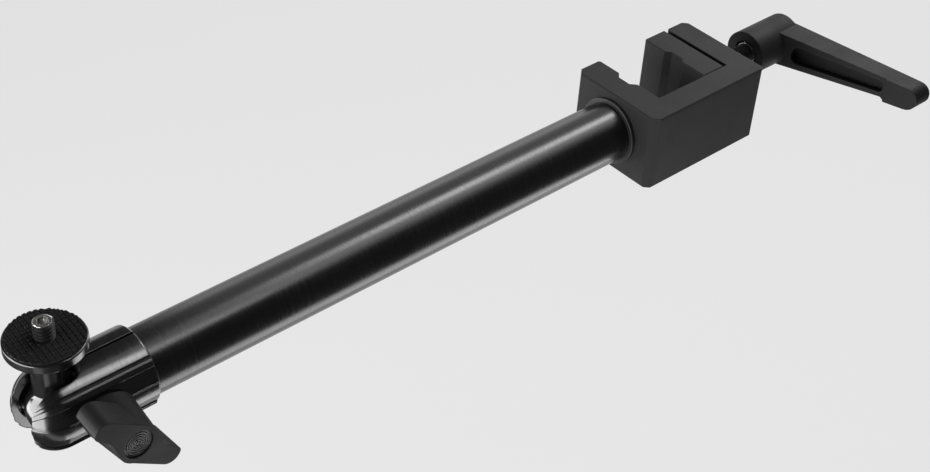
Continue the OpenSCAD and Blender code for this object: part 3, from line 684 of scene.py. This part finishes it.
# %% Ringed cap
RINGS = 5
RING_DEEP, RING_LEAN = 0.22, 0.14
RING_SHARE = 0.48
PLAIN_RIM, PLAIN_CORE = 0.35, 0.15
CAP_CHAMFER = 0.12
KNOB_FROM_BALL = 10.6
KNOB_AXIS_X = BALL_CENTRE.x * 1000 + KNOB_FROM_BALL
low, high = (corner * 1000 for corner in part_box("knob_cap"))
cap_r = (high.x - low.x) / 2
face_out, back_out = -low.y, -high.y
ring_floor = face_out - RING_DEEP
profile = [
    (0, back_out), (cap_r, back_out),
    (cap_r, face_out - CAP_CHAMFER), (cap_r - CAP_CHAMFER, face_out)]
step = (cap_r - (PLAIN_RIM + PLAIN_CORE)) / RINGS
for k in range(RINGS):
    outer = cap_r - PLAIN_RIM - k * step
    inner = outer - step * RING_SHARE
    profile += [
        (outer, face_out), (outer - RING_LEAN, ring_floor),
        (inner, ring_floor), (inner - RING_LEAN, face_out)]
profile = [point for point in profile if point[0] >= 0] + [(0, face_out)]
cap = solid("ringed_cap", spun(profile), cap_plastic)
facing_front = Matrix.Rotation(math.radians(90), 4, "X")
to_knob = Matrix.Translation((KNOB_AXIS_X / 1000, 0, 0)) @ facing_front
mounted(cap, to_knob, "knob", "knob_cap")

# %% [markdown]
# ## The studio
#
# The photograph has a flat pale background, and a glossy black arm in front of it that is dark in
# most places. A mirror shows what stands round it, so the room here is made of a pale world, soft
# lamps and black cards.
#
# The world is pale for the camera and for mirrors. For everything else it is a weak fill, so that the
# black stays black. A brighter world would whiten the background too, but it would light the arm as
# well and wash out its blacks. The Light Path node tells the two kinds of ray apart.

# %% World
PALE = (0.7913, 0.7913, 0.7913, 1.0)
WHITE = (1.0, 1.0, 1.0, 1.0)
FILL = 0.12


def emptied(owner):
    """The node tree of a material or a world, with nothing in it."""
    owner.use_nodes = True
    owner.node_tree.nodes.clear()
    return owner.node_tree


def seen_directly(tree):
    """1 for rays from the camera and for mirrored or refracted ones, else 0."""
    ray = put(tree, "LightPath").outputs
    mirrored = maths(tree, "MAXIMUM", ray["Is Glossy Ray"], ray["Is Transmission Ray"])
    return maths(tree, "MAXIMUM", ray["Is Camera Ray"], mirrored)


room = bpy.data.worlds.new("studio_room")
scene.world = room
tree = emptied(room)
pale_view = put(tree, "Background", {"Color": PALE, "Strength": 1.0}).outputs[0]
weak_fill = put(tree, "Background", {"Color": WHITE, "Strength": FILL}).outputs[0]
either = put(tree, "MixShader", {0: seen_directly(tree), 1: weak_fill, 2: pale_view}).outputs[0]
put(tree, "OutputWorld", {"Surface": either})
print("world: seen at", PALE[0], "and lighting at", FILL)

# %% [markdown]
# The floor lies well under the arm, so that the arm's shadow is wide and faint. It is mostly the
# same flat tone as the world, mixed with a real diffuse surface that takes the shadow. A floor of
# diffuse paper alone would be pale only where the lamps reach it.

# %% Floor
FLOOR_Z = -0.30
FLOOR_R = 6.0
SHADOW_SHARE = 0.14
PAPER_SCALE, PAPER_SHARE = 900.0, 0.04
PAPER_DARK = (0.7, 0.7, 0.7, 1.0)
shape = bmesh.new()
bmesh.ops.create_circle(shape, cap_ends=True, radius=FLOOR_R, segments=ROUND_STEPS)
backdrop = bpy.data.materials.new("pale_floor")
tree = emptied(backdrop)
place = put(tree, "TexCoord").outputs["Object"]
paper = put(tree, "TexNoise", {"Vector": place, "Scale": PAPER_SCALE}).outputs[0]
paper_tone = blend(tree, maths(tree, "MULTIPLY", paper, PAPER_SHARE), PALE, PAPER_DARK)
surface = put(tree, "BsdfDiffuse", {"Color": paper_tone}).outputs[0]
flat_tone = put(tree, "Emission", {"Color": PALE, "Strength": 1.0}).outputs[0]
share = maths(tree, "MULTIPLY", seen_directly(tree), 1.0 - SHADOW_SHARE)
mixed = put(tree, "MixShader", {0: share, 1: surface, 2: flat_tone}).outputs[0]
put(tree, "OutputMaterial", {"Surface": mixed})
floor = solid("floor", shape, backdrop)
floor.location.z = FLOOR_Z
print("floor at", FLOOR_Z, "m")

# %% [markdown]
# ## Lamps
#
# Each lamp answers to one highlight in the photograph:
#
# - strip_above and strip_edge draw the tube's long highlight and the soft side of it
# - head_key draws the narrower highlight on the barrel
# - tall_left is the tall soft box that the ball, the stem and the near cheek mirror
# - back_glow and clamp_edge lighten the far side of the tube and the far end of the clamp's top
# - table_glow lies just over the floor and lights the tube from under and in front
#
# They are area lamps, since a point lamp would leave a dot in a gloss surface and a sun would leave
# nothing. A lamp is set by its radiance, which is how bright it looks in a mirror, and its power
# follows from its size. So a lamp can be made longer and its reflection keeps its tone.

# %% Lamps
def soft_lamp(name, place, aim, width, height, radiance):
    """Area lamp set by its radiance, so that its size doesn't change its reflection's tone."""
    data = bpy.data.lights.new(name, "AREA")
    data.shape = "RECTANGLE"
    data.size, data.size_y = width, height
    data.energy = radiance * math.pi * width * height
    made = bpy.data.objects.new(name, data)
    scene.collection.objects.link(made)
    made.location = place
    made.rotation_euler = (Vector(aim) - Vector(place)).to_track_quat("-Z", "Y").to_euler()
    made.visible_camera = False
    print(name, round(data.energy, 2), "W")


def around_tube(degrees, distance, along):
    """Place beside the tube: 0 degrees is behind it, 90 above, 180 in front; along is X."""
    angle = math.radians(degrees)
    return (along, distance * math.cos(angle), distance * math.sin(angle))


soft_lamp("strip_above", around_tube(87, 0.85, 0.66), (0.66, 0.0, 0.0), 0.70, 0.26, 11.0)
soft_lamp("strip_edge", around_tube(106, 0.85, 0.60), (0.60, 0.0, 0.0), 0.80, 0.26, 1.8)
soft_lamp("head_key", (0.10, -0.35, 0.80), (-0.22, 0.0, 0.0), 0.14, 0.30, 7.5)
soft_lamp("tall_left", (-0.60, 0.10, -0.01), (-0.237, 0.03, -0.01), 0.75, 0.46, 6.8)
soft_lamp("back_glow", around_tube(20, 0.8, 0.40), (0.40, 0.0, 0.0), 0.9, 0.36, 0.8)
soft_lamp("clamp_edge", (0.34, 0.10, 0.13), (0.06, 0.0, 0.015), 0.14, 0.12, 4.5)
soft_lamp("table_glow", (-0.01, -0.205, -0.29), (-0.01, -0.205, 1.0), 0.50, 0.23, 2.8)

# %% [markdown]
# ## Black cards
#
# Photographers stand black card beside a glossy part to give it a dark side, as dark as the left of
# this tube and the lower half of this barrel. The cards here are seen by mirrors only. They are
# hidden from the camera, from diffuse light and from shadow, so the arm's matt pieces are lit as if
# no card were there. Three of them are bent round the long axis, because the angle round it is the
# place of the dark band: one along the front of the whole arm, and two over the ball head. The
# fourth lies flat under the ball head.

# %% Black cards
CARD_R = 0.21
CARD_STEP = 4
FELT_SCALE = 40.0
card_paint = bpy.data.materials.new("card_black")
tree = emptied(card_paint)
place = put(tree, "TexCoord").outputs["Object"]
felt = put(tree, "TexNoise", {"Vector": place, "Scale": FELT_SCALE}).outputs[0]
felt_tone = blend(tree, felt, black(0.05), black(0.09))
put(tree, "OutputMaterial", {"Surface": put(tree, "Emission", {"Color": felt_tone}).outputs[0]})


def black_card(name, rows):
    """Sheet through rows of points. Only mirrors see it, and it throws no shadow."""
    shape = bmesh.new()
    lines = [[shape.verts.new(point) for point in row] for row in rows]
    for row, after in zip(lines, lines[1:]):
        shape.faces.new((row[0], row[1], after[1], after[0]))
    card = solid(name, shape, card_paint)
    card.visible_camera = False
    card.visible_diffuse = False
    card.visible_shadow = False
    print("card:", name)


def bent_card(name, first, last, begin, end):
    """Card round the long axis between two angles, from begin to end on X."""
    angles = range(first, last + 1, CARD_STEP)
    black_card(name, [[around_tube(a, CARD_R, x) for x in (begin, end)] for a in angles])


bent_card("front_card", 128, 224, -0.47, 0.75)
bent_card("hood_card", 92, 128, -0.47, -0.185)
bent_card("roof_card", 4, 92, -0.47, -0.11)
black_card("left_card", [[(-0.58, y, -0.27), (-0.17, y, -0.27)] for y in (-0.14, 0.35)])
